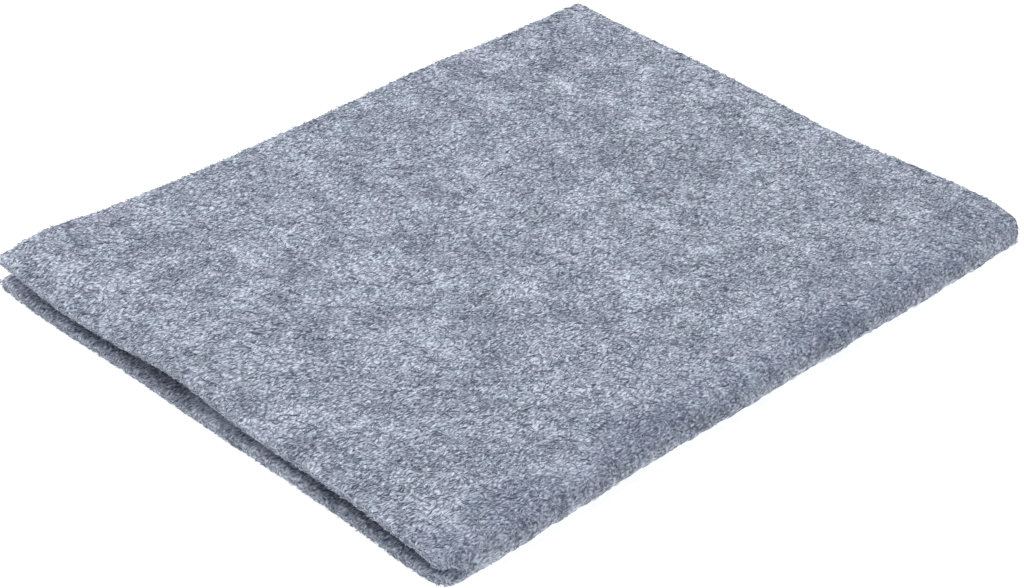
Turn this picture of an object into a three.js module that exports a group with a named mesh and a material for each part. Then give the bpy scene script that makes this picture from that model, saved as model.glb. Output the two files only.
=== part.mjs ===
// A felt painting mat: one rectangle of thick needle felt, cut square with plain edges
// and folded once across its length, so that it lies as two leaves joined by a round fold.
//
// Millimetres, +Z up. The origin is on the surface that the mat lies on, under the middle of
// the folded mat. The fold runs along X on the -Y side, and the two cut ends of the sheet
// lie one over the other on the +Y side. The lower leaf is flat. The felt is stiff, so the
// upper leaf stands off it by about twice the felt's thickness, and is a little wavy.

import * as THREE from 'three';

// The sheet as it was cut
const sheetWidth = 320;
const sheetLength = 500;
const feltThickness = 3.3;
const edgeSoftening = 1.1;

// Corners are worn round, more at the -X end: seen from above, those of the cut ends and
// those where the fold ends.
const cutCorner = { low: 5, high: 2 };
const foldCorner = { low: 9, high: 7 };

// The folded mat's height over the outside of the felt, and how far from the fold the
// swells of the upper leaf reach their full height
const foldHeight = 12.5;
const foldEase = 40;

// The fold is pressed down along its length, most at its +X end, and the upper leaf rises
// from it to its full height over the press's reach
const pressReach = 24;
const press = [
  { at: -160, width: 70, out: 1.0 },
  { at: 10, width: 110, out: 2.6 },
  { at: 160, width: 42, out: 3.6 },
];

// Inside the fold the felt is crowded together and thicker, mostly on the lower leaf
const crowding = { out: 2.6, width: 9, towardsLower: 5 };

// How far the middle of the upper leaf sags, and how much longer than the leaf the sag runs
const sag = 1.2;
const sagSpread = 1.3;

// Steps of the surface along X and along the sheet's own length
const steps = { alongFold: 30, lowerLeaf: 9, round: 10, upperLeaf: 20 };

// Near a cut edge two more steps stand in part of the softening and part of the corner
const partOfSoftening = 0.3;
const partOfCorner = 0.4;

// Soft bulges of each outline: where along the edge, over what width, and how far out
const lowerCutEnd = [
  { at: -160, width: 16, out: -2.2 },
  { at: -95, width: 40, out: -0.6 },
  { at: 60, width: 50, out: 0.5 },
];
const upperCutEnd = [
  { at: -160, width: 16, out: -2.2 },
  { at: -132, width: 18, out: 1.0 },
  { at: -55, width: 38, out: -0.6 },
  { at: 60, width: 24, out: 0.8 },
];
const foldLine = [
  { at: -160, width: 10, out: 1.1 },
  { at: -132, width: 24, out: 1.0 },
  { at: -60, width: 32, out: -0.5 },
  { at: 100, width: 30, out: 0.8 },
  { at: 160, width: 10, out: -0.3 },
];
const nearEnd = [
  { at: 88, width: 26, out: 1.1 },
  { at: -50, width: 30, out: -0.8 },
  { at: -104, width: 12, out: 0.5 },
];
const farEnd = [
  { at: 122, width: 22, out: 1.1 },
  { at: -92, width: 22, out: 1.0 },
  { at: -26, width: 30, out: -0.7 },
];

// Soft swells of the upper leaf: where, how wide along X and Y, and how high
const swells = [
  { x: -142, y: 122, wideX: 26, wideY: 34, rise: 2.1 },
  { x: -160, y: 76, wideX: 40, wideY: 20, rise: -0.7 },
  { x: -160, y: 16, wideX: 50, wideY: 28, rise: 3.6 },
  { x: -160, y: -76, wideX: 45, wideY: 16, rise: 0.5 },
  { x: -45, y: 124, wideX: 55, wideY: 45, rise: -0.5 },
  { x: 66, y: 124, wideX: 40, wideY: 40, rise: 0.9 },
  { x: 160, y: 60, wideX: 50, wideY: 30, rise: 0.5 },
  { x: 160, y: -26, wideX: 50, wideY: 30, rise: -1.4 },
  { x: 20, y: -30, wideX: 60, wideY: 40, rise: 0.7 },
];

const foldRadius = foldHeight / 2;
const midRadius = foldRadius - feltThickness / 2;
const leafLength = (sheetLength - Math.PI * midRadius) / 2;
const foldedDepth = leafLength + foldRadius;

// The sheet's length has three stretches, and "along" runs from 0 to 1 in each: the lower
// leaf from its cut end to the fold, the round of the fold, and the upper leaf to its end.
const LOWER = 0;
const ROUND = 1;
const UPPER = 2;

function bell(distance, width) {
  return Math.exp(-((distance / width) ** 2));
}

function bulge(outline, at) {
  return outline.reduce((sum, row) => sum + row.out * bell(at - row.at, row.width), 0);
}

function smoothStep(value) {
  const part = THREE.MathUtils.clamp(value, 0, 1);
  return part * part * (3 - 2 * part);
}

// A point of the felt's surface with the fold pressed down. The upper leaf moves by the
// whole press, and what stands in the gap between the leaves by its share of the gap.
function pressed(point) {
  const fromFoldLine = point.y + foldedDepth / 2 + bulge(foldLine, point.x);
  const nearFold = THREE.MathUtils.clamp(1 - fromFoldLine / pressReach, 0, 1);
  const overLower = (point.z - feltThickness) / (foldHeight - 2 * feltThickness);
  const share = THREE.MathUtils.clamp(overLower, 0, 1);
  point.z -= bulge(press, point.x) * nearFold * nearFold * share;
  return point;
}

// Height of the upper leaf over its level place: the swells and the sag, both eased in
// from the fold
function upperRise(x, y, pastFold) {
  const swell = swells.reduce(
    (sum, row) => sum + row.rise * bell(x - row.x, row.wideX) * bell(y - row.y, row.wideY),
    0,
  );
  const acrossLeaf = Math.sin((Math.PI * pastFold) / leafLength) ** 2;
  const alongLeaf = Math.cos((Math.PI * x) / (sagSpread * sheetWidth));
  return smoothStep(pastFold / foldEase) * (swell - sag * acrossLeaf * alongLeaf);
}

// The middle of the felt at a place x along the fold and a place along one stretch
function middle(x, stretch, along) {
  const centreY = foldRadius - foldedDepth / 2 - bulge(foldLine, x);
  if (stretch === LOWER) {
    const cutY = foldedDepth / 2 + bulge(lowerCutEnd, x);
    return new THREE.Vector3(x, THREE.MathUtils.lerp(cutY, centreY, along), feltThickness / 2);
  }
  if (stretch === ROUND) {
    const turn = Math.PI * along;
    const y = centreY - midRadius * Math.sin(turn);
    return new THREE.Vector3(x, y, foldRadius - midRadius * Math.cos(turn));
  }
  const cutY = foldedDepth / 2 + bulge(upperCutEnd, x);
  const y = THREE.MathUtils.lerp(centreY, cutY, along);
  const z = foldHeight - feltThickness / 2 + upperRise(x, y, y - centreY);
  return new THREE.Vector3(x, y, z);
}

// The way that the outside of the felt faces, from two short steps over the surface
function facing(x, stretch, along) {
  const small = 1e-4;
  const before = Math.max(along - small, 0);
  const after = Math.min(along + small, 1);
  const alongX = middle(x + small, stretch, along).sub(middle(x - small, stretch, along));
  const alongSheet = middle(x, stretch, after).sub(middle(x, stretch, before));
  return alongX.cross(alongSheet).normalize();
}

// Distances from 0 to length, close together where the cut edge softens and turns
function cutSteps(length, count) {
  const inSoftening = partOfSoftening * edgeSoftening;
  const soft = [0, inSoftening, edgeSoftening, partOfCorner * cutCorner.low];
  const rest = length - cutCorner.low;
  const even = Array.from({ length: count + 1 }, (_, i) => cutCorner.low + (rest * i) / count);
  return [...soft, ...even];
}

// How much a rounded edge of the given radius draws in, at a distance from that edge
function drawnIn(distance, radius) {
  const short = Math.max(radius - distance, 0);
  return radius - Math.sqrt(radius * radius - short * short);
}

// Distance, seen from above, from the outermost line of the fold
function fromFold(stretch, along, fromEnd) {
  if (stretch === ROUND) {
    return midRadius * (1 - Math.sin(Math.PI * along));
  }
  return midRadius + leafLength - fromEnd;
}

// Distance along the sheet from the middle of the fold, less than nothing on the lower side
function fromMiddle(stretch, along) {
  const halfRound = (Math.PI * midRadius) / 2;
  if (stretch === ROUND) {
    return halfRound * (2 * along - 1);
  }
  return stretch === LOWER ? leafLength * (along - 1) - halfRound : leafLength * along + halfRound;
}

// Rows across the sheet, each with its stretch, its place along it and its distance from
// the nearer cut end
function sheetRows() {
  const lower = cutSteps(leafLength, steps.lowerLeaf);
  const upper = cutSteps(leafLength, steps.upperLeaf).reverse();
  return [
    ...lower.map((fromEnd) => ({ stretch: LOWER, along: fromEnd / leafLength, fromEnd })),
    ...Array.from({ length: steps.round - 1 }, (_, i) => (
      { stretch: ROUND, along: (i + 1) / steps.round, fromEnd: leafLength }
    )),
    ...upper.map((fromEnd) => ({ stretch: UPPER, along: 1 - fromEnd / leafLength, fromEnd })),
  ];
}

// Places from 0 to 1 along X, with the soft steps at both ends
function columnParts() {
  const half = cutSteps(sheetWidth / 2, steps.alongFold / 2).map((step) => step / sheetWidth);
  return [...half, ...half.slice(0, -1).reverse().map((part) => 1 - part)];
}

// Both faces of the felt over the same grid, joined by a band round the sheet's edge
function feltGeometry() {
  const rows = sheetRows();
  const parts = columnParts();
  const outside = [];
  const inside = [];
  for (const { stretch, along, fromEnd } of rows) {
    const level = middle(0, stretch, along);
    const foldAway = fromFold(stretch, along, fromEnd);
    const lowInset = drawnIn(fromEnd, cutCorner.low) + drawnIn(foldAway, foldCorner.low);
    const highInset = drawnIn(fromEnd, cutCorner.high) + drawnIn(foldAway, foldCorner.high);
    const lowX = -sheetWidth / 2 - bulge(nearEnd, level.y) + lowInset;
    const highX = sheetWidth / 2 + bulge(farEnd, level.y) - highInset;
    const fromCrowd = fromMiddle(stretch, along) + crowding.towardsLower;
    const crowded = crowding.out * bell(fromCrowd, crowding.width);
    for (const part of parts) {
      const x = THREE.MathUtils.lerp(lowX, highX, part);
      const fromSide = Math.min(part, 1 - part) * sheetWidth;
      const edge = Math.min(fromEnd, fromSide);
      const half = feltThickness / 2 - drawnIn(edge, edgeSoftening);
      const place = middle(x, stretch, along);
      const out = facing(x, stretch, along);
      const outer = place.clone().addScaledVector(out, half);
      const inner = place.clone().addScaledVector(out, -half - crowded);
      outside.push(...pressed(outer).toArray());
      inside.push(...pressed(inner).toArray());
    }
  }
  const columns = parts.length;
  const inner = rows.length * columns;
  const faces = [];
  const quad = (a, b, c, d) => faces.push(a, b, c, a, c, d);
  for (let row = 0; row + 1 < rows.length; row += 1) {
    for (let column = 0; column + 1 < columns; column += 1) {
      const corner = row * columns + column;
      const across = corner + columns;
      quad(corner, corner + 1, across + 1, across);
      quad(inner + corner, inner + across, inner + across + 1, inner + corner + 1);
    }
    const left = row * columns;
    const right = left + columns - 1;
    quad(left, left + columns, inner + left + columns, inner + left);
    quad(right + columns, right, inner + right, inner + right + columns);
  }
  const last = (rows.length - 1) * columns;
  for (let column = 0; column + 1 < columns; column += 1) {
    quad(column + 1, column, inner + column, inner + column + 1);
    const end = last + column;
    quad(end, end + 1, inner + end + 1, inner + end);
  }
  const geometry = new THREE.BufferGeometry();
  geometry.setAttribute('position', new THREE.Float32BufferAttribute([...outside, ...inside], 3));
  geometry.setIndex(faces);
  return geometry;
}

// Moves the origin to the middle of the shape's box on the surface it lies on
function standOnOrigin(geometry) {
  geometry.computeBoundingBox();
  const centre = geometry.boundingBox.getCenter(new THREE.Vector3());
  geometry.translate(-centre.x, -centre.y, -geometry.boundingBox.min.z);
  geometry.computeVertexNormals();
  return geometry;
}

const felt = new THREE.MeshStandardMaterial({ color: 0x969dac, roughness: 0.95, metalness: 0 });
const feltMat = new THREE.Mesh(standOnOrigin(feltGeometry()), felt);
feltMat.name = 'felt_mat';

const foldedMat = new THREE.Group();
foldedMat.add(feltMat);

export default foldedMat;
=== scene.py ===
import math
import bpy
import numpy as np
from mathutils import Matrix, Vector


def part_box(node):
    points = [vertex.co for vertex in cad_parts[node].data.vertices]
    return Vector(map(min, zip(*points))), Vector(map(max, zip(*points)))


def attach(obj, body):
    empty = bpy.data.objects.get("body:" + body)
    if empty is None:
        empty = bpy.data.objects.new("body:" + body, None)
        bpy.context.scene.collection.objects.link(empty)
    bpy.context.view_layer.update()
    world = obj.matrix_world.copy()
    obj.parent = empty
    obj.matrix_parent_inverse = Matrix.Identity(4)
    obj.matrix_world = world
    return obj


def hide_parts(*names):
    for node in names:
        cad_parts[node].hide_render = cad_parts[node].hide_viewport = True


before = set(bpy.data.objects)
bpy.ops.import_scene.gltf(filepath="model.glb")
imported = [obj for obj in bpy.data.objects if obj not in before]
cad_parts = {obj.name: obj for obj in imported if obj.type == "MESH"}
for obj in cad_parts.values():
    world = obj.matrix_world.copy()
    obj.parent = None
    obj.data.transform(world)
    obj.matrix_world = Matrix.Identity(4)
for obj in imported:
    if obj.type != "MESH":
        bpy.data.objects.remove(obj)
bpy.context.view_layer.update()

# The felt of the mat. The real piece is one rectangle of thick needle-punched felt in a
# blue-grey marl of pale and dark fibres, cut square and left without a hem. It is folded
# once across its length, so that one leaf lies over the other with a round, open fold.
mm = 0.001
sheet_width = 320 * mm
sheet_length = 500 * mm
felt_thickness = 3.3 * mm
edge_softening = 1.2 * mm
edge_reach = 2.8 * mm
cut_corner_low, cut_corner_high = 5 * mm, 2 * mm
fold_corner_low, fold_corner_high = 9 * mm, 7 * mm
fold_height = 12.5 * mm
fold_ease = 40 * mm
sag = 1.2 * mm
sag_spread = 1.3
press_reach = 24 * mm
crowding, crowding_width, towards_lower = 2.6 * mm, 9 * mm, 5 * mm
closing, closing_width, towards_upper, closing_reach = 2 * mm, 6 * mm, 9 * mm, 15 * mm

# Soft bulges of each outline: where along the edge, over what width, and how far out
lower_cut_end = mm * np.array([(-160, 16, -2.2), (-95, 40, -0.6), (60, 50, 0.5)])
upper_cut_end = mm * np.array([
    (-160, 16, -2.2), (-132, 18, 1.0), (-55, 38, -0.6), (60, 24, 0.8)
])
fold_line = mm * np.array([
    (-160, 10, 1.1), (-132, 24, 1.0), (-60, 32, -0.5), (100, 30, 0.8), (160, 10, -0.3)
])
near_end = mm * np.array([(88, 26, 1.1), (-50, 30, -0.8), (-104, 12, 0.5)])
far_end = mm * np.array([(122, 22, 1.1), (-92, 22, 1.0), (-26, 30, -0.7)])

# How far the fold is pressed down along its length
press = mm * np.array([(-160, 70, 1.0), (10, 110, 2.6), (160, 42, 3.6)])

# Soft swells of the upper leaf: x, y, how wide along each, and how high
swells = mm * np.array([
    (-142, 122, 26, 34, 2.1),
    (-160, 76, 40, 20, -0.7),
    (-160, 16, 50, 28, 3.6),
    (-160, -76, 45, 16, 0.5),
    (-45, 124, 55, 45, -0.5),
    (66, 124, 40, 40, 0.9),
    (160, 60, 50, 30, 0.5),
    (160, -26, 50, 30, -1.4),
    (20, -30, 60, 40, 0.7),
])

fold_radius = fold_height / 2
mid_radius = fold_radius - felt_thickness / 2
round_length = math.pi * mid_radius
leaf_length = (sheet_length - round_length) / 2
folded_depth = leaf_length + fold_radius


def bell(distance, width):
    """A smooth bump: e to the power of minus the square of distance over width."""
    return np.exp(-((distance / width) ** 2))


def bulge(outline, at):
    """How far an outline stands out at a place along it: the sum of its rows' bells."""
    return sum(out * bell(at - middle, width) for middle, width, out in outline)


def lumps(a, b, wavelength, height, waves, seed):
    """Soft random relief over two lengths: a sum of cosine waves in random directions and
    phases. Their wavelengths are from 0.7 to 1.5 of the given one, and the root of the
    mean square of the sum is the given height."""
    dice = np.random.default_rng(seed)
    turn = dice.uniform(0, 2 * math.pi, waves)
    phase = dice.uniform(0, 2 * math.pi, waves)
    pitch = 2 * math.pi / (wavelength * dice.uniform(0.7, 1.5, waves))
    total = np.zeros(np.broadcast(a, b).shape)
    for angle, start, steps in zip(turn, phase, pitch):
        total += np.cos(steps * (a * math.cos(angle) + b * math.sin(angle)) + start)
    return height * math.sqrt(2 / waves) * total


def upper_rise(x, y, past_fold):
    """Height of the upper leaf over its level place: the swells less the sag, eased in from
    the fold by 3 p squared less 2 p cubed of the part p of the ease that is past it."""
    swell = sum(
        rise * bell(x - middle_x, wide_x) * bell(y - middle_y, wide_y)
        for middle_x, middle_y, wide_x, wide_y, rise in swells
    )
    across_leaf = np.sin(math.pi * past_fold / leaf_length) ** 2
    along_leaf = np.cos(math.pi * x / (sag_spread * sheet_width))
    part = np.clip(past_fold / fold_ease, 0, 1)
    return part * part * (3 - 2 * part) * (swell - sag * across_leaf * along_leaf)


def middle_of_felt(x, travel, ragged=0.0):
    """The middle of the felt's thickness at x along the fold and at the distance travelled
    along the sheet from its lower cut end. On the lower leaf y runs straight to the fold at
    half the felt's height. Round the fold the point turns through half a circle. On the
    upper leaf y runs straight out again, at the fold's height plus the rise."""
    x, travel = np.broadcast_arrays(x, travel)
    fold_y = fold_radius - folded_depth / 2 - bulge(fold_line, x)
    lower_end_y = folded_depth / 2 + bulge(lower_cut_end, x) + ragged
    upper_end_y = folded_depth / 2 + bulge(upper_cut_end, x) + ragged
    lower_part = travel / leaf_length
    upper_part = (travel - leaf_length - round_length) / leaf_length
    turn = np.clip((travel - leaf_length) / mid_radius, 0, math.pi)
    lower_y = lower_end_y + lower_part * (fold_y - lower_end_y)
    upper_y = fold_y + upper_part * (upper_end_y - fold_y)
    round_y = fold_y - mid_radius * np.sin(turn)
    upper_z = fold_height - felt_thickness / 2 + upper_rise(x, upper_y, upper_y - fold_y)
    round_z = fold_radius - mid_radius * np.cos(turn)
    on_lower, on_upper = lower_part < 1, upper_part > 0
    y = np.where(on_lower, lower_y, np.where(on_upper, upper_y, round_y))
    z = np.where(on_lower, felt_thickness / 2, np.where(on_upper, upper_z, round_z))
    return np.stack([x, y, z], axis=-1)


def pressed(points):
    """The points with the fold pressed down. They move by the press, times the square of
    the part of its reach that is left, times the share of the gap that is below them."""
    x, y, z = np.moveaxis(points, -1, 0)
    from_fold_line = y + folded_depth / 2 + bulge(fold_line, x)
    near_fold = np.clip(1 - from_fold_line / press_reach, 0, 1)
    share = np.clip((z - felt_thickness) / (fold_height - 2 * felt_thickness), 0, 1)
    return np.stack([x, y, z - bulge(press, x) * near_fold**2 * share], axis=-1)


def facing(x, travel):
    """The way the outside of the felt faces: the cross product of two short steps over the
    middle of it, one along the fold and one along the sheet."""
    small = 0.1 * mm
    along_x = middle_of_felt(x + small, travel) - middle_of_felt(x - small, travel)
    along_sheet = middle_of_felt(x, travel + small) - middle_of_felt(x, travel - small)
    out = np.cross(along_x, along_sheet)
    return out / np.linalg.norm(out, axis=-1, keepdims=True)


def drawn_in(distance, radius):
    """How much a rounded edge draws in at a distance from it: a quarter circle's gap."""
    short = np.maximum(radius - distance, 0)
    return radius - np.sqrt(radius * radius - short * short)


def from_cut_end(travel):
    """Distance along the sheet from the nearer cut end."""
    return np.clip(np.minimum(travel, sheet_length - travel), 0, None)


def side_edges(travel, ragged=0.0):
    """The x of both cut sides at each place along the sheet: half the width, plus the
    outline's bulge, less what the corners draw in."""
    turn = np.clip((travel - leaf_length) / mid_radius, 0, math.pi)
    from_end = from_cut_end(travel)
    past_round = np.maximum(leaf_length - from_end, 0)
    from_fold = mid_radius * (1 - np.sin(turn)) + past_round
    level_y = middle_of_felt(0 * travel, travel)[..., 1]
    low_inset = drawn_in(from_end, cut_corner_low) + drawn_in(from_fold, fold_corner_low)
    high_inset = drawn_in(from_end, cut_corner_high) + drawn_in(from_fold, fold_corner_high)
    low = -sheet_width / 2 - bulge(near_end, level_y) + low_inset - ragged
    high = sheet_width / 2 + bulge(far_end, level_y) - high_inset + ragged
    return low, high


# The cut is a little ragged, and both faces are lumpy: first in soft dents a few
# centimetres wide, then at the scale of the tufts that the needles have pressed together.
ragged_cut, ragged_pitch, ragged_waves = 0.14 * mm, 6 * mm, 30
lump_sizes = [(34 * mm, 0.12 * mm), (11 * mm, 0.055 * mm), (4.5 * mm, 0.045 * mm)]
lump_waves = 28
side_seed, end_seed, outside_seed, inside_seed = 41, 43, 50, 60


def ragged_along(edge, seed):
    """How far a cut edge stands out at each place along it: fine lumps in one direction."""
    return lumps(edge, 0 * edge, ragged_pitch, ragged_cut, ragged_waves, seed)


def lumpy(x, travel, seed):
    """The relief of one face of the felt: lumps of several sizes, one on the other."""
    return sum(
        lumps(x, travel, size, height, lump_waves, seed + step)
        for step, (size, height) in enumerate(lump_sizes)
    )


def half_felt(x, travel, low, high):
    """Half the felt's thickness, drawn in towards the nearest cut edge."""
    from_side = np.minimum(x - low, high - x)
    edge = np.clip(np.minimum(from_side, from_cut_end(travel)), 0, None)
    return felt_thickness / 2 - drawn_in(edge * edge_softening / edge_reach, edge_softening)


def crowded(x, travel):
    """How much thicker the inside of the fold is, where the felt is crowded together: a
    bell a little to the lower side of the fold's middle, and one on the upper side at the
    near end alone, where the fold closes."""
    past_middle = travel - sheet_length / 2
    from_near_end = x + sheet_width / 2
    lower = crowding * bell(past_middle + towards_lower, crowding_width)
    upper = closing * bell(past_middle - towards_upper, closing_width)
    return lower + upper * bell(from_near_end, closing_reach)


# The grid's lines: close together over the rounded cut edges, and even between them
soft_steps = mm * np.array([0, 0.25, 0.8, 1.7])
lower_rows, round_rows, upper_rows, even_columns = 62, 26, 142, 188
even_rows = [
    np.linspace(edge_reach, leaf_length, lower_rows),
    leaf_length + round_length * np.arange(1, round_rows) / round_rows,
    sheet_length - np.linspace(leaf_length, edge_reach, upper_rows),
]
rows = np.concatenate([soft_steps, *even_rows, sheet_length - soft_steps[::-1]])
across = np.linspace(edge_reach, sheet_width - edge_reach, even_columns)
across = np.concatenate([soft_steps, across, sheet_width - soft_steps[::-1]])
part_across = across / sheet_width
travel_grid = rows[:, None]


def over_sheet(low, high):
    """The x of every grid place: each row runs evenly from its low to its high side."""
    return low + part_across * (high - low)


# The bare shape, without lumps, gives the place where the CAD solid stands
plain_low, plain_high = side_edges(travel_grid)
plain_x = over_sheet(plain_low, plain_high)
plain_middle = middle_of_felt(plain_x, travel_grid)
plain_out = facing(plain_x, travel_grid)
plain_half = half_felt(plain_x, travel_grid, plain_low, plain_high)[..., None]
plain_skin = pressed(plain_middle + plain_half * plain_out)
node_low, node_high = (np.array(corner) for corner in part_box("felt_mat"))
skin_low, skin_high = plain_skin.min(axis=(0, 1)), plain_skin.max(axis=(0, 1))
stand = (node_low + node_high) / 2 - (skin_low + skin_high) / 2
stand[2] = node_low[2] - skin_low[2]

ragged_side = ragged_along(travel_grid, side_seed)
ragged_end = ragged_along(plain_x, end_seed)
low, high = side_edges(travel_grid, ragged_side)
x_grid = over_sheet(low, high)
middle = middle_of_felt(x_grid, travel_grid, ragged_end)
out = facing(x_grid, travel_grid)
half = half_felt(x_grid, travel_grid, low, high)
fade = half / (felt_thickness / 2)
over = half + fade * lumpy(x_grid, travel_grid, outside_seed)
below = half + fade * lumpy(x_grid, travel_grid, inside_seed) + crowded(x_grid, travel_grid)
outside = pressed(middle + out * over[..., None])
inside = pressed(middle - out * below[..., None])
skin = np.concatenate([outside.reshape(-1, 3), inside.reshape(-1, 3)]) + stand
skin[:, 2] = np.maximum(skin[:, 2], node_low[2])

# Corners of the faces: both faces of the felt, then the four bands of the cut edge
row_count, column_count = x_grid.shape
place = np.arange(row_count * column_count).reshape(row_count, column_count)
under = place + row_count * column_count


def band(a, b):
    """Faces between two lines of places: a to the next of a, across to b and back."""
    return np.stack([a[:-1], a[1:], b[1:], b[:-1]], axis=-1).reshape(-1, 4)


top_faces = np.stack(
    [place[:-1, :-1], place[:-1, 1:], place[1:, 1:], place[1:, :-1]], axis=-1
).reshape(-1, 4)
under_faces = np.stack(
    [under[:-1, :-1], under[1:, :-1], under[1:, 1:], under[:-1, 1:]], axis=-1
).reshape(-1, 4)
edge_faces = [
    band(place[:, 0], under[:, 0]),
    band(under[:, -1], place[:, -1]),
    band(under[0], place[0]),
    band(place[-1], under[-1]),
]
faces = np.concatenate([top_faces, under_faces, *edge_faces])


def mesh_piece(name, points, quads, triangles=None):
    """A mesh object from arrays of points and of each face's corners, shaded smooth."""
    corners = quads.reshape(-1)
    starts = np.arange(len(quads)) * 4
    sizes = np.full(len(quads), 4)
    if triangles is not None:
        starts = np.concatenate([starts, len(corners) + np.arange(len(triangles)) * 3])
        sizes = np.concatenate([sizes, np.full(len(triangles), 3)])
        corners = np.concatenate([corners, triangles.reshape(-1)])
    mesh = bpy.data.meshes.new(name)
    mesh.vertices.add(len(points))
    mesh.vertices.foreach_set("co", points.astype(np.float32).reshape(-1))
    mesh.loops.add(len(corners))
    mesh.loops.foreach_set("vertex_index", corners.astype(np.int32))
    mesh.polygons.add(len(starts))
    mesh.polygons.foreach_set("loop_start", starts.astype(np.int32))
    mesh.polygons.foreach_set("loop_total", sizes.astype(np.int32))
    mesh.polygons.foreach_set("use_smooth", np.ones(len(starts), dtype=bool))
    mesh.update(calc_edges=True)
    mesh.validate()
    piece = bpy.data.objects.new(name, mesh)
    bpy.context.scene.collection.objects.link(piece)
    return piece


felt_sheet = mesh_piece("felt_sheet", skin, faces)


class Shade:
    """One output of a material's nodes. A sum, difference, product or power of it and a
    number or another output adds the Math node that works it out."""

    def __init__(self, tree, socket=None):
        self.tree = tree
        self.socket = socket

    def node(self, kind, settings=None, inputs=None, output=0):
        """Adds a node: its settings first, then the value or link of each socket. Gives
        back the output with the given name or number."""
        made = self.tree.nodes.new(kind)
        for name, value in (settings or {}).items():
            setattr(made, name, value)
        for name, value in (inputs or {}).items():
            if isinstance(value, Shade):
                self.tree.links.new(value.socket, made.inputs[name])
            else:
                made.inputs[name].default_value = value
        return Shade(self.tree, made.outputs[output])

    def maths(self, operation, *values):
        """A Math node on the given values or outputs."""
        settings = {"operation": operation}
        return self.node("ShaderNodeMath", settings, dict(enumerate(values)))

    def __add__(self, other):
        return self.maths("ADD", self, other)

    __radd__ = __add__

    def __sub__(self, other):
        return self.maths("SUBTRACT", self, other)

    def __rsub__(self, other):
        return self.maths("SUBTRACT", other, self)

    def __mul__(self, other):
        return self.maths("MULTIPLY", self, other)

    __rmul__ = __mul__

    def __pow__(self, other):
        return self.maths("POWER", self, other)

    def clamped(self):
        """The value kept between 0 and 1."""
        return self.node("ShaderNodeClamp", None, {"Value": self})

    def between(self, low_colour, high_colour):
        """A mix of two colours by this value."""
        sockets = {0: self, 6: low_colour, 7: high_colour}
        return self.node("ShaderNodeMix", {"data_type": "RGBA"}, sockets, output=2)


def strokes(place, angle, width, length, seed):
    """Short wavy fibres in one direction: a noise drawn out along it. The seed moves them
    to another part of the noise."""
    stretched = place.node(
        "ShaderNodeMapping",
        {"vector_type": "POINT"},
        {
            "Vector": place,
            "Location": (seed, 2 * seed, 3 * seed),
            "Rotation": (0.0, 0.0, -angle),
            "Scale": (1 / length, 1 / width, 1 / width),
        },
    )
    noise = {
        "Vector": stretched,
        "Scale": 1.0,
        "Detail": 0.3,
        "Roughness": 0.5,
        "Distortion": 0.35,
    }
    return place.node("ShaderNodeTexNoise", None, noise)


dark_fibre = (0.060, 0.078, 0.128, 1.0)
pale_fibre = (0.74, 0.80, 0.92, 1.0)
tone_curve = 1.5


def felt_finish(name, look_of):
    """Matt felt: look_of gives its colour and the height of the nap."""
    material = bpy.data.materials.new(name)
    material.use_nodes = True
    tree = material.node_tree
    shader = tree.nodes["Principled BSDF"]
    colour, nap = look_of(Shade(tree))
    tree.links.new(colour.socket, shader.inputs["Base Color"])
    if nap is not None:
        height = {"Strength": 0.3, "Distance": 0.3 * mm, "Height": nap}
        bump = nap.node("ShaderNodeBump", None, height)
        tree.links.new(bump.socket, shader.inputs["Normal"])
    shader.inputs["Roughness"].default_value = 0.95
    shader.inputs["Specular IOR Level"].default_value = 0.15
    shader.inputs["Sheen Weight"].default_value = 0.12
    shader.inputs["Sheen Roughness"].default_value = 0.6
    return material


# Painted shade makes the colour darker and bluer where the felt bends over to the fold, and
# painted light makes it paler at the fold's foot, next to the bright floor. The pale fibre
# is a mixture itself, in places nearer to green and to violet.
painted_fold_shade, painted_shade_reach = 0.14, 36 * mm
# Painted light: the foot of the fold, next to the bright floor, is made paler
painted_foot_light, foot_height = 0.62, 12 * mm
painted_shade_blue, painted_blue_share = (0.155, 0.205, 0.345, 1.0), 0.22
greener_fibre = (0.725, 0.805, 0.92, 1.0)
redder_fibre = (0.76, 0.793, 0.93, 1.0)
stroke_angles, stroke_width, stroke_length = (12, 38, 64, 115), 0.70 * mm, 1.45 * mm
wander_scale, wander_reach = 260.0, 1.6 * mm
cloud_scale, patch_scale = 60.0, 95.0
middle_tone, grain_gain, cloud_gain, patch_gain = 0.545, 3.35, 1.0, 3.0


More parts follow.
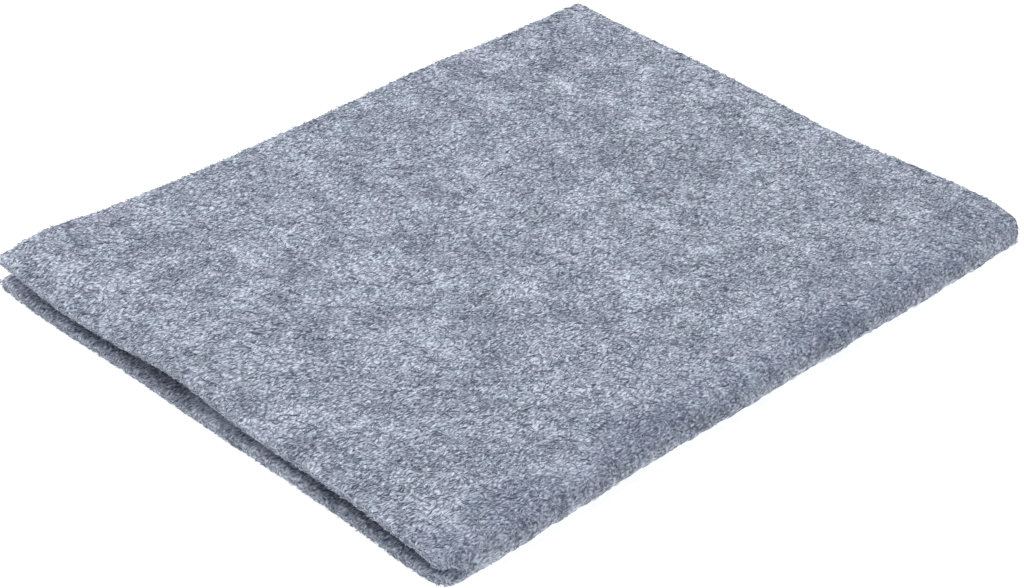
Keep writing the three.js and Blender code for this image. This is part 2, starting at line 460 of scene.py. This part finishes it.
def marl(start):
    """The marl of the felt's face, and its nap: strokes in four directions, wandering a
    little. The marl also has soft clouds, where one tone of fibre lies thicker. Over it
    lies painted shade, darker and bluer near the fold, and painted light, paler at the
    foot, which is low on the fold, in the last quarter of the way to its line."""
    place = start.node("ShaderNodeTexCoord", output="Object")
    wandering = {"Vector": place, "Scale": wander_scale, "Detail": 1.0}
    wander = start.node("ShaderNodeTexNoise", None, wandering, output="Color")
    moved = start.node(
        "ShaderNodeVectorMath",
        {"operation": "MULTIPLY_ADD"},
        {0: wander, 1: (wander_reach, wander_reach, wander_reach), 2: place},
    )
    lines = [
        strokes(moved, math.radians(angle), stroke_width, stroke_length, 3.0 * step)
        for step, angle in enumerate(stroke_angles)
    ]
    fibres = sum(lines[1:], lines[0]) * (1 / len(lines))
    cloudy = {"Vector": place, "Scale": cloud_scale, "Detail": 3.0, "Roughness": 0.72}
    clouds = start.node("ShaderNodeTexNoise", None, cloudy)
    y, z = (
        start.node("ShaderNodeSeparateXYZ", None, {"Vector": place}, output=axis)
        for axis in "YZ"
    )
    # Masks for the painted shade and light: nearness to the fold line, and the foot low on
    # it
    near_fold = (1 - (y + folded_depth / 2) * (1 / painted_shade_reach)).clamped()
    foot = (1 - z * (1 / foot_height)).clamped() * (near_fold * 4 - 3).clamped()
    tone = middle_tone + grain_gain * (fibres - 0.5) + cloud_gain * (clouds - 0.5)
    # Painted shade darkens the tone towards the fold, and painted light makes the foot
    # paler
    tone = tone - painted_fold_shade * near_fold**3 + painted_foot_light * foot
    patchy = {"Vector": place, "Scale": patch_scale, "Detail": 1.0, "Roughness": 0.5}
    patches = start.node("ShaderNodeTexNoise", None, patchy)
    redder = (0.5 + patch_gain * (patches - 0.5)).clamped()
    pale = redder.between(greener_fibre, redder_fibre)
    marled = (tone.clamped() ** tone_curve).between(dark_fibre, pale)
    # Painted shade: near the fold, but not at the foot, the colour is mixed towards a dark
    # blue
    return (painted_blue_share * near_fold * (1 - foot)).between(marled, painted_shade_blue), fibres


felt_sheet.data.materials.append(felt_finish("blue_grey_felt", marl))

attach(felt_sheet, "root")
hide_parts("felt_mat")

# The loose fibres on the felt: curls of wool that the needles have left lying on its outer
# face and standing a little out of the cut edges. Each is a thin closed spindle of its own,
# pale or dark, with its tips pressed into the felt.
fibre_width, width_spread = 0.30 * mm, (0.7, 1.4)
fibre_length, edge_fibre_length, length_spread = 4.2 * mm, 2.0 * mm, (0.6, 1.4)
most_bend, most_twist, bend_middle = 0.8, 1.4, 0.08
ring_turns = math.radians(90) + 2 * math.pi * np.arange(3) / 3
ring_sizes = np.array([0.75, 1.0, 0.75])
spindle_parts = np.linspace(-0.5, 0.5, 5)
spindle_points = 2 + len(ring_turns) * len(ring_sizes)


def wool_curls(name, x, travel, turn, height, rise, length, tones, dice):
    """A piece of fibres, one for each place on the sheet, turned from the fold's direction
    by its turn. Each runs along a parabola plus an S, so many times its length, and its
    distance from the middle of the felt is the height plus the rise, less at its tips."""
    count = len(x)
    length = length * dice.uniform(*length_spread, count)[:, None]
    turn = turn[:, None]
    bend = dice.uniform(-most_bend, most_bend, count)[:, None]
    twist = dice.uniform(-most_twist, most_twist, count)[:, None]
    part = spindle_parts
    forward = length * part
    aside = length * (bend * (part**2 - bend_middle) + twist * part**3)
    fibre_x = x[:, None] + forward * np.cos(turn) - aside * np.sin(turn)
    fibre_travel = travel[:, None] + forward * np.sin(turn) + aside * np.cos(turn)
    height, rise = height[:, None], rise[:, None]
    away = height + rise * (1 - (2 * part) ** 2) * np.sign(height)
    out = facing(fibre_x, fibre_travel)
    line = pressed(middle_of_felt(fibre_x, fibre_travel) + away[..., None] * out) + stand
    ahead = np.gradient(line, axis=1)
    ahead /= np.linalg.norm(ahead, axis=-1, keepdims=True)
    side = np.cross(ahead, out)
    side /= np.linalg.norm(side, axis=-1, keepdims=True)
    upward = np.cross(side, ahead)
    size = 0.5 * fibre_width * dice.uniform(*width_spread, count)[:, None] * ring_sizes
    rings = line[:, 1:4, None] + size[..., None, None] * (
        np.cos(ring_turns)[:, None] * side[:, 1:4, None]
        + np.sin(ring_turns)[:, None] * upward[:, 1:4, None]
    )
    points = np.concatenate([line[:, :1], rings.reshape(count, -1, 3), line[:, 4:]], axis=1)
    points = points.reshape(-1, 3)
    points[:, 2] = np.maximum(points[:, 2], node_low[2])
    base = spindle_points * np.arange(count)[:, None, None]
    ring = np.array([(1, 2, 5, 4), (2, 3, 6, 5), (3, 1, 4, 6)])
    quads = (base + np.concatenate([ring, ring + 3])).reshape(-1, 4)
    tips = np.array([(0, 2, 1), (0, 3, 2), (0, 1, 3), (10, 7, 8), (10, 8, 9), (10, 9, 7)])
    piece = mesh_piece(name, points, quads, (base + tips).reshape(-1, 3))
    tone = dice.uniform(*tones, count) ** tone_curve
    shade = piece.data.attributes.new("tone", "FLOAT", "POINT")
    shade.data.foreach_set("value", np.repeat(tone, spindle_points).astype(np.float32))
    piece.data.materials.append(wool)
    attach(piece, "root")
    return piece


def fibre_tone(start):
    """The tone that each fibre carries, with nothing of its own on the surface."""
    tone = start.node("ShaderNodeAttribute", {"attribute_name": "tone"}, output="Fac")
    return tone.between(dark_fibre, pale_fibre), None


wool = felt_finish("wool_fibre", fibre_tone)
face_count, face_margin, face_rise, sunk = 10500, 0.003, 0.4 * mm, 0.03 * mm
edge_count, edge_inset, edge_outset, edge_rise = 9000, 0.45 * mm, 0.05 * mm, 0.15 * mm
edge_skin, edge_turn, end_share = 0.5 * mm, 0.5, 0.28
# The edge fibres are paler than those on the face: a painted highlight where the cut edges
# catch the light
face_tones, edge_tones_with_highlight = (0.3, 0.9), (0.4, 1.0)
face_seeds, edge_seed = (71, 72), 73


def on_face(count, seed, travel_low, travel_high):
    """Random places on the outer face of the felt, each with the height of its surface."""
    dice = np.random.default_rng(seed)
    travel = dice.uniform(travel_low, travel_high, count)
    low, high = side_edges(travel)
    x = low + (high - low) * dice.uniform(face_margin, 1 - face_margin, count)
    half = half_felt(x, travel, low, high)
    height = half + half / (felt_thickness / 2) * lumpy(x, travel, outside_seed)
    turn = dice.uniform(0, 2 * math.pi, count)
    rise = dice.uniform(0, face_rise, count)
    return x, travel, turn, height - sunk, rise, fibre_length, face_tones, dice


# The underside carries no fibres: they start a quarter of the way round the fold
fold_start, last_place = leaf_length + 0.25 * round_length, sheet_length - 0.5 * mm
fibre_pieces = [
    wool_curls(f"felt_fibres_{number}", *on_face(face_count, seed, fold_start, last_place))
    for number, seed in enumerate(face_seeds, start=1)
]


def on_edge(count, seed):
    """Random places on the four cut edges, between the two faces and a little outside."""
    dice = np.random.default_rng(seed)
    travel = dice.uniform(0, sheet_length, count)
    low, high = side_edges(travel)
    which = dice.random(count)
    outward = dice.uniform(-edge_inset, edge_outset, count)
    x = np.where(which < 0.5, low - outward, high + outward)
    at_end = which > 1 - end_share
    end_x = dice.uniform(-0.5, 0.5, count) * sheet_width
    x = np.where(at_end, end_x, x)
    end_travel = np.where(dice.random(count) < 0.5, -outward, sheet_length + outward)
    travel = np.where(at_end, end_travel, travel)
    height = dice.uniform(-1.0, 1.0, count) * (felt_thickness / 2 - edge_skin)
    height = np.where(height < 0, height - crowded(x, travel) * dice.random(count), height)
    turn = dice.normal(0, edge_turn, count) + np.where(at_end, 0, math.pi / 2)
    rise = dice.uniform(0, edge_rise, count)
    return x, travel, turn, height, rise, edge_fibre_length, edge_tones_with_highlight, dice


fibre_pieces.append(wool_curls("edge_fibres", *on_edge(edge_count, edge_seed)))

# The plain pale floor that the mat lies on. It glows a little, as a light table does, so
# that it is as white as the photo's ground. It is no part of the mat.
floor_mesh = bpy.data.meshes.new("floor")
floor_half, floor_gap = 6.0, 0.05 * mm
floor_z = node_low[2] - floor_gap
floor_mesh.from_pydata(
    [(-floor_half, -floor_half, floor_z), (floor_half, -floor_half, floor_z),
     (floor_half, floor_half, floor_z), (-floor_half, floor_half, floor_z)],
    [],
    [(0, 1, 2, 3)],
)
floor = bpy.data.objects.new("floor", floor_mesh)
bpy.context.scene.collection.objects.link(floor)
paper = bpy.data.materials.new("pale_floor")
paper.use_nodes = True
paper_shader = paper.node_tree.nodes["Principled BSDF"]
paper_shader.inputs["Base Color"].default_value = (0.4, 0.4, 0.4, 1.0)
paper_shader.inputs["Roughness"].default_value = 0.9
paper_shader.inputs["Emission Color"].default_value = (1.0, 1.0, 1.0, 1.0)
paper_shader.inputs["Emission Strength"].default_value = 0.8
floor_mesh.materials.append(paper)

# Soft light: a white room, and one wide lamp above, behind and to the left
world = bpy.data.worlds.new("white_room")
bpy.context.scene.world = world
world.use_nodes = True
world.node_tree.nodes["Background"].inputs["Color"].default_value = (1.0, 1.0, 1.0, 1.0)
world.node_tree.nodes["Background"].inputs["Strength"].default_value = 0.38

lamp = bpy.data.lights.new("wide_lamp", "AREA")
lamp.shape = "DISK"
lamp.size = 3.0
lamp.energy = 63
lamp_place = Vector((-0.35, 0.9, 2.4))
lamp_object = bpy.data.objects.new("wide_lamp", lamp)
lamp_object.location = lamp_place
lamp_object.rotation_euler = (-lamp_place).to_track_quat("-Z", "Y").to_euler()
bpy.context.scene.collection.objects.link(lamp_object)

# The camera, at the photograph's angle: turned round the mat, raised, moved a little to
# the side and down in its own view, and rolled
camera_turn = math.radians(-46.515)
camera_rise = math.radians(33.322)
camera_distance = 1.0128
camera_aside = -3.73 * mm
camera_above = -11.83 * mm
camera_roll = math.radians(2.49)
back = Vector((
    math.sin(camera_turn) * math.cos(camera_rise),
    -math.cos(camera_turn) * math.cos(camera_rise),
    math.sin(camera_rise),
))
right = (-back).cross(Vector((0, 0, 1))).normalized()
upward = right.cross(-back)
eye = camera_distance * back + camera_aside * right + camera_above * upward
rolled_right = math.cos(camera_roll) * right + math.sin(camera_roll) * upward
rolled_up = -math.sin(camera_roll) * right + math.cos(camera_roll) * upward
camera = bpy.data.cameras.new("camera")
camera.sensor_fit = "HORIZONTAL"
camera.sensor_width = 36
camera.lens = 91.25
camera_object = bpy.data.objects.new("camera", camera)
axes = Matrix((rolled_right, rolled_up, back)).transposed().to_4x4()
camera_object.matrix_world = Matrix.Translation(eye) @ axes
bpy.context.scene.collection.objects.link(camera_object)
bpy.context.scene.camera = camera_object
bpy.context.scene.view_settings.view_transform = "Standard"
